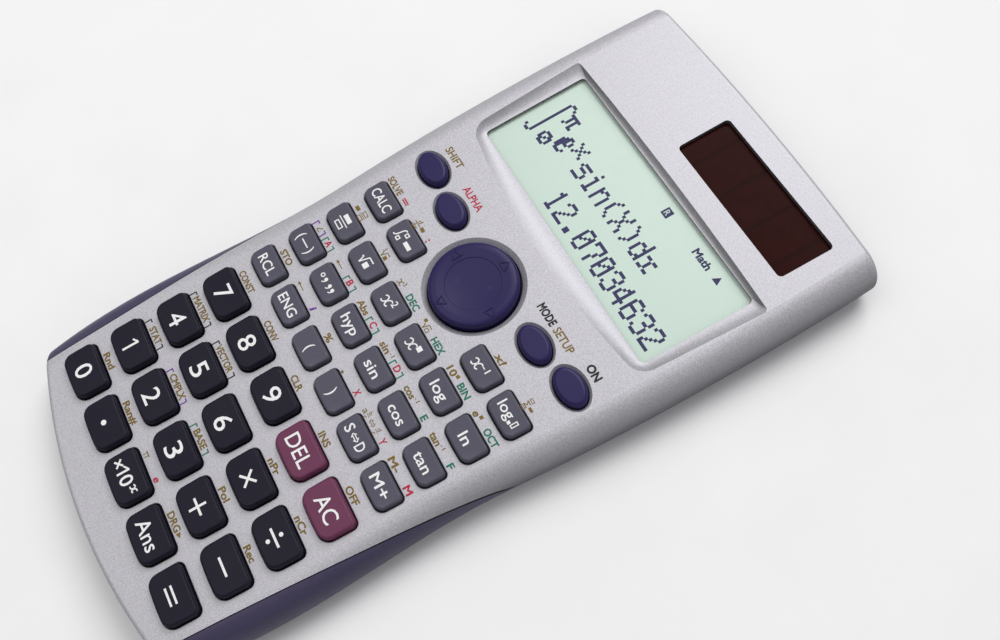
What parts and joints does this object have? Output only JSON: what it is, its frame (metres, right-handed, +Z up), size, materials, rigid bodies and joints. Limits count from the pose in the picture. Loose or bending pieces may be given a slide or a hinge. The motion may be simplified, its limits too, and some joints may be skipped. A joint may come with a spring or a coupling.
{
  "type": "scientific calculator",
  "caption": "Pocket scientific calculator with a waisted two-part case, recessed display, solar cell, sprung keys that travel and a round rocker pad that tilts both ways.",
  "frame": {"origin": "on the desk under the middle of the case, at the bottom of the feet", "axes": "+X to the user's right, +Y along the case towards the display end, +Z up out of the keys"},
  "size_m": [0.08, 0.161, 0.0122],
  "materials": {
    "front_shell": "silver metallic paint on moulded plastic",
    "rear_shell": "dark violet moulded plastic",
    "clear_pane": "clear polished plastic",
    "lcd_glass": "pale green display glass",
    "solar_glass": "dark red-brown cell under glass",
    "board": "green circuit board",
    "dome_rubber": "translucent silicone rubber",
    "function_key": "slate grey moulded plastic",
    "number_key": "near-black moulded plastic",
    "clearing_key": "plum moulded plastic",
    "oval_key": "dark blue-violet moulded plastic",
    "pivot_plastic": "natural moulded plastic",
    "cell_steel": "plated steel can",
    "contact_metal": "nickel-plated spring strip",
    "screw_steel": "black-coated steel",
    "foot_rubber": "black rubber"
  },
  "bodies": {
    "root": {"front_case": "front_shell", "rear_case": "rear_shell", "display_window": "clear_pane", "lcd_panel": "lcd_glass", "solar_cell": "solar_glass", "main_board": "board", "dome_sheet": "dome_rubber", "battery_cell": "cell_steel", "battery_contacts": "contact_metal", "battery_cover": "rear_shell", "case_screws": "screw_steel", "rubber_feet": "foot_rubber"},
    "pad_stem": {"pad_pivot": "pivot_plastic"},
    "pad": {"rocker_pad": "oval_key"},
    "body_calc_key": {"calc_key": "function_key"},
    "body_integral_key": {"integral_key": "function_key"},
    "body_reciprocal_key": {"reciprocal_key": "function_key"},
    "body_log_base_key": {"log_base_key": "function_key"},
    "body_fraction_key": {"fraction_key": "function_key"},
    "body_root_key": {"root_key": "function_key"},
    "body_square_key": {"square_key": "function_key"},
    "body_power_key": {"power_key": "function_key"},
    "body_log_key": {"log_key": "function_key"},
    "body_ln_key": {"ln_key": "function_key"},
    "body_negative_key": {"negative_key": "function_key"},
    "body_degree_key": {"degree_key": "function_key"},
    "body_hyp_key": {"hyp_key": "function_key"},
    "body_sin_key": {"sin_key": "function_key"},
    "body_cos_key": {"cos_key": "function_key"},
    "body_tan_key": {"tan_key": "function_key"},
    "body_recall_key": {"recall_key": "function_key"},
    "body_eng_key": {"eng_key": "function_key"},
    "body_open_bracket_key": {"open_bracket_key": "function_key"},
    "body_close_bracket_key": {"close_bracket_key": "function_key"},
    "body_sd_key": {"sd_key": "function_key"},
    "body_m_plus_key": {"m_plus_key": "function_key"},
    "body_digit_7_key": {"digit_7_key": "number_key"},
    "body_digit_8_key": {"digit_8_key": "number_key"},
    "body_digit_9_key": {"digit_9_key": "number_key"},
    "body_delete_key": {"delete_key": "clearing_key"},
    "body_clear_key": {"clear_key": "clearing_key"},
    "body_digit_4_key": {"digit_4_key": "number_key"},
    "body_digit_5_key": {"digit_5_key": "number_key"},
    "body_digit_6_key": {"digit_6_key": "number_key"},
    "body_multiply_key": {"multiply_key": "number_key"},
    "body_divide_key": {"divide_key": "number_key"},
    "body_digit_1_key": {"digit_1_key": "number_key"},
    "body_digit_2_key": {"digit_2_key": "number_key"},
    "body_digit_3_key": {"digit_3_key": "number_key"},
    "body_plus_key": {"plus_key": "number_key"},
    "body_minus_key": {"minus_key": "number_key"},
    "body_digit_0_key": {"digit_0_key": "number_key"},
    "body_point_key": {"point_key": "number_key"},
    "body_exponent_key": {"exponent_key": "number_key"},
    "body_answer_key": {"answer_key": "number_key"},
    "body_equals_key": {"equals_key": "number_key"},
    "body_shift_key": {"shift_key": "oval_key"},
    "body_alpha_key": {"alpha_key": "oval_key"},
    "body_mode_key": {"mode_key": "oval_key"},
    "body_on_key": {"on_key": "oval_key"}
  },
  "joints": [
    {"name": "calc_press", "type": "slide", "parent": "root", "child": "body_calc_key", "axis": [0, 0, -1], "range_m": [0, 0.001], "stiffness_N_per_m": 1100, "deforming": ["dome_sheet"]},
    {"name": "integral_press", "type": "slide", "parent": "root", "child": "body_integral_key", "axis": [0, 0, -1], "range_m": [0, 0.001], "stiffness_N_per_m": 1100, "deforming": ["dome_sheet"]},
    {"name": "reciprocal_press", "type": "slide", "parent": "root", "child": "body_reciprocal_key", "axis": [0, 0, -1], "range_m": [0, 0.001], "stiffness_N_per_m": 1100, "deforming": ["dome_sheet"]},
    {"name": "log_base_press", "type": "slide", "parent": "root", "child": "body_log_base_key", "axis": [0, 0, -1], "range_m": [0, 0.001], "stiffness_N_per_m": 1100, "deforming": ["dome_sheet"]},
    {"name": "fraction_press", "type": "slide", "parent": "root", "child": "body_fraction_key", "axis": [0, 0, -1], "range_m": [0, 0.001], "stiffness_N_per_m": 1100, "deforming": ["dome_sheet"]},
    {"name": "root_press", "type": "slide", "parent": "root", "child": "body_root_key", "axis": [0, 0, -1], "range_m": [0, 0.001], "stiffness_N_per_m": 1100, "deforming": ["dome_sheet"]},
    {"name": "square_press", "type": "slide", "parent": "root", "child": "body_square_key", "axis": [0, 0, -1], "range_m": [0, 0.001], "stiffness_N_per_m": 1100, "deforming": ["dome_sheet"]},
    {"name": "power_press", "type": "slide", "parent": "root", "child": "body_power_key", "axis": [0, 0, -1], "range_m": [0, 0.001], "stiffness_N_per_m": 1100, "deforming": ["dome_sheet"]},
    {"name": "log_press", "type": "slide", "parent": "root", "child": "body_log_key", "axis": [0, 0, -1], "range_m": [0, 0.001], "stiffness_N_per_m": 1100, "deforming": ["dome_sheet"]},
    {"name": "ln_press", "type": "slide", "parent": "root", "child": "body_ln_key", "axis": [0, 0, -1], "range_m": [0, 0.001], "stiffness_N_per_m": 1100, "deforming": ["dome_sheet"]},
    {"name": "negative_press", "type": "slide", "parent": "root", "child": "body_negative_key", "axis": [0, 0, -1], "range_m": [0, 0.001], "stiffness_N_per_m": 1100, "deforming": ["dome_sheet"]},
    {"name": "degree_press", "type": "slide", "parent": "root", "child": "body_degree_key", "axis": [0, 0, -1], "range_m": [0, 0.001], "stiffness_N_per_m": 1100, "deforming": ["dome_sheet"]},
    {"name": "hyp_press", "type": "slide", "parent": "root", "child": "body_hyp_key", "axis": [0, 0, -1], "range_m": [0, 0.001], "stiffness_N_per_m": 1100, "deforming": ["dome_sheet"]},
    {"name": "sin_press", "type": "slide", "parent": "root", "child": "body_sin_key", "axis": [0, 0, -1], "range_m": [0, 0.001], "stiffness_N_per_m": 1100, "deforming": ["dome_sheet"]},
    {"name": "cos_press", "type": "slide", "parent": "root", "child": "body_cos_key", "axis": [0, 0, -1], "range_m": [0, 0.001], "stiffness_N_per_m": 1100, "deforming": ["dome_sheet"]},
    {"name": "tan_press", "type": "slide", "parent": "root", "child": "body_tan_key", "axis": [0, 0, -1], "range_m": [0, 0.001], "stiffness_N_per_m": 1100, "deforming": ["dome_sheet"]},
    {"name": "recall_press", "type": "slide", "parent": "root", "child": "body_recall_key", "axis": [0, 0, -1], "range_m": [0, 0.001], "stiffness_N_per_m": 1100, "deforming": ["dome_sheet"]},
    {"name": "eng_press", "type": "slide", "parent": "root", "child": "body_eng_key", "axis": [0, 0, -1], "range_m": [0, 0.001], "stiffness_N_per_m": 1100, "deforming": ["dome_sheet"]},
    {"name": "open_bracket_press", "type": "slide", "parent": "root", "child": "body_open_bracket_key", "axis": [0, 0, -1], "range_m": [0, 0.001], "stiffness_N_per_m": 1100, "deforming": ["dome_sheet"]},
    {"name": "close_bracket_press", "type": "slide", "parent": "root", "child": "body_close_bracket_key", "axis": [0, 0, -1], "range_m": [0, 0.001], "stiffness_N_per_m": 1100, "deforming": ["dome_sheet"]},
    {"name": "sd_press", "type": "slide", "parent": "root", "child": "body_sd_key", "axis": [0, 0, -1], "range_m": [0, 0.001], "stiffness_N_per_m": 1100, "deforming": ["dome_sheet"]},
    {"name": "m_plus_press", "type": "slide", "parent": "root", "child": "body_m_plus_key", "axis": [0, 0, -1], "range_m": [0, 0.001], "stiffness_N_per_m": 1100, "deforming": ["dome_sheet"]},
    {"name": "digit_7_press", "type": "slide", "parent": "root", "child": "body_digit_7_key", "axis": [0, 0, -1], "range_m": [0, 0.001], "stiffness_N_per_m": 1200, "deforming": ["dome_sheet"]},
    {"name": "digit_8_press", "type": "slide", "parent": "root", "child": "body_digit_8_key", "axis": [0, 0, -1], "range_m": [0, 0.001], "stiffness_N_per_m": 1200, "deforming": ["dome_sheet"]},
    {"name": "digit_9_press", "type": "slide", "parent": "root", "child": "body_digit_9_key", "axis": [0, 0, -1], "range_m": [0, 0.001], "stiffness_N_per_m": 1200, "deforming": ["dome_sheet"]},
    {"name": "delete_press", "type": "slide", "parent": "root", "child": "body_delete_key", "axis": [0, 0, -1], "range_m": [0, 0.001], "stiffness_N_per_m": 1200, "deforming": ["dome_sheet"]},
    {"name": "clear_press", "type": "slide", "parent": "root", "child": "body_clear_key", "axis": [0, 0, -1], "range_m": [0, 0.001], "stiffness_N_per_m": 1200, "deforming": ["dome_sheet"]},
    {"name": "digit_4_press", "type": "slide", "parent": "root", "child": "body_digit_4_key", "axis": [0, 0, -1], "range_m": [0, 0.001], "stiffness_N_per_m": 1200, "deforming": ["dome_sheet"]},
    {"name": "digit_5_press", "type": "slide", "parent": "root", "child": "body_digit_5_key", "axis": [0, 0, -1], "range_m": [0, 0.001], "stiffness_N_per_m": 1200, "deforming": ["dome_sheet"]},
    {"name": "digit_6_press", "type": "slide", "parent": "root", "child": "body_digit_6_key", "axis": [0, 0, -1], "range_m": [0, 0.001], "stiffness_N_per_m": 1200, "deforming": ["dome_sheet"]},
    {"name": "multiply_press", "type": "slide", "parent": "root", "child": "body_multiply_key", "axis": [0, 0, -1], "range_m": [0, 0.001], "stiffness_N_per_m": 1200, "deforming": ["dome_sheet"]},
    {"name": "divide_press", "type": "slide", "parent": "root", "child": "body_divide_key", "axis": [0, 0, -1], "range_m": [0, 0.001], "stiffness_N_per_m": 1200, "deforming": ["dome_sheet"]},
    {"name": "digit_1_press", "type": "slide", "parent": "root", "child": "body_digit_1_key", "axis": [0, 0, -1], "range_m": [0, 0.001], "stiffness_N_per_m": 1200, "deforming": ["dome_sheet"]},
    {"name": "digit_2_press", "type": "slide", "parent": "root", "child": "body_digit_2_key", "axis": [0, 0, -1], "range_m": [0, 0.001], "stiffness_N_per_m": 1200, "deforming": ["dome_sheet"]},
    {"name": "digit_3_press", "type": "slide", "parent": "root", "child": "body_digit_3_key", "axis": [0, 0, -1], "range_m": [0, 0.001], "stiffness_N_per_m": 1200, "deforming": ["dome_sheet"]},
    {"name": "plus_press", "type": "slide", "parent": "root", "child": "body_plus_key", "axis": [0, 0, -1], "range_m": [0, 0.001], "stiffness_N_per_m": 1200, "deforming": ["dome_sheet"]},
    {"name": "minus_press", "type": "slide", "parent": "root", "child": "body_minus_key", "axis": [0, 0, -1], "range_m": [0, 0.001], "stiffness_N_per_m": 1200, "deforming": ["dome_sheet"]},
    {"name": "digit_0_press", "type": "slide", "parent": "root", "child": "body_digit_0_key", "axis": [0, 0, -1], "range_m": [0, 0.001], "stiffness_N_per_m": 1200, "deforming": ["dome_sheet"]},
    {"name": "point_press", "type": "slide", "parent": "root", "child": "body_point_key", "axis": [0, 0, -1], "range_m": [0, 0.001], "stiffness_N_per_m": 1200, "deforming": ["dome_sheet"]},
    {"name": "exponent_press", "type": "slide", "parent": "root", "child": "body_exponent_key", "axis": [0, 0, -1], "range_m": [0, 0.001], "stiffness_N_per_m": 1200, "deforming": ["dome_sheet"]},
    {"name": "answer_press", "type": "slide", "parent": "root", "child": "body_answer_key", "axis": [0, 0, -1], "range_m": [0, 0.001], "stiffness_N_per_m": 1200, "deforming": ["dome_sheet"]},
    {"name": "equals_press", "type": "slide", "parent": "root", "child": "body_equals_key", "axis": [0, 0, -1], "range_m": [0, 0.001], "stiffness_N_per_m": 1200, "deforming": ["dome_sheet"]},
    {"name": "shift_press", "type": "slide", "parent": "root", "child": "body_shift_key", "axis": [0, 0, -1], "range_m": [0, 0.001], "stiffness_N_per_m": 1100, "deforming": ["dome_sheet"]},
    {"name": "alpha_press", "type": "slide", "parent": "root", "child": "body_alpha_key", "axis": [0, 0, -1], "range_m": [0, 0.001], "stiffness_N_per_m": 1100, "deforming": ["dome_sheet"]},
    {"name": "mode_press", "type": "slide", "parent": "root", "child": "body_mode_key", "axis": [0, 0, -1], "range_m": [0, 0.001], "stiffness_N_per_m": 1100, "deforming": ["dome_sheet"]},
    {"name": "on_press", "type": "slide", "parent": "root", "child": "body_on_key", "axis": [0, 0, -1], "range_m": [0, 0.001], "stiffness_N_per_m": 1100, "deforming": ["dome_sheet"]},
    {"name": "pad_tilt_up_down", "type": "hinge", "parent": "root", "child": "pad_stem", "pos_m": [0, 0.0123, 0.0086], "axis": [1, 0, 0], "range_deg": [-3, 3], "stiffness_Nm_per_rad": 0.3},
    {"name": "pad_tilt_left_right", "type": "hinge", "parent": "pad_stem", "child": "pad", "pos_m": [0, 0.0123, 0.0086], "axis": [0, 1, 0], "range_deg": [-3, 3], "stiffness_Nm_per_rad": 0.3, "deforming": ["dome_sheet"]}
  ]
}
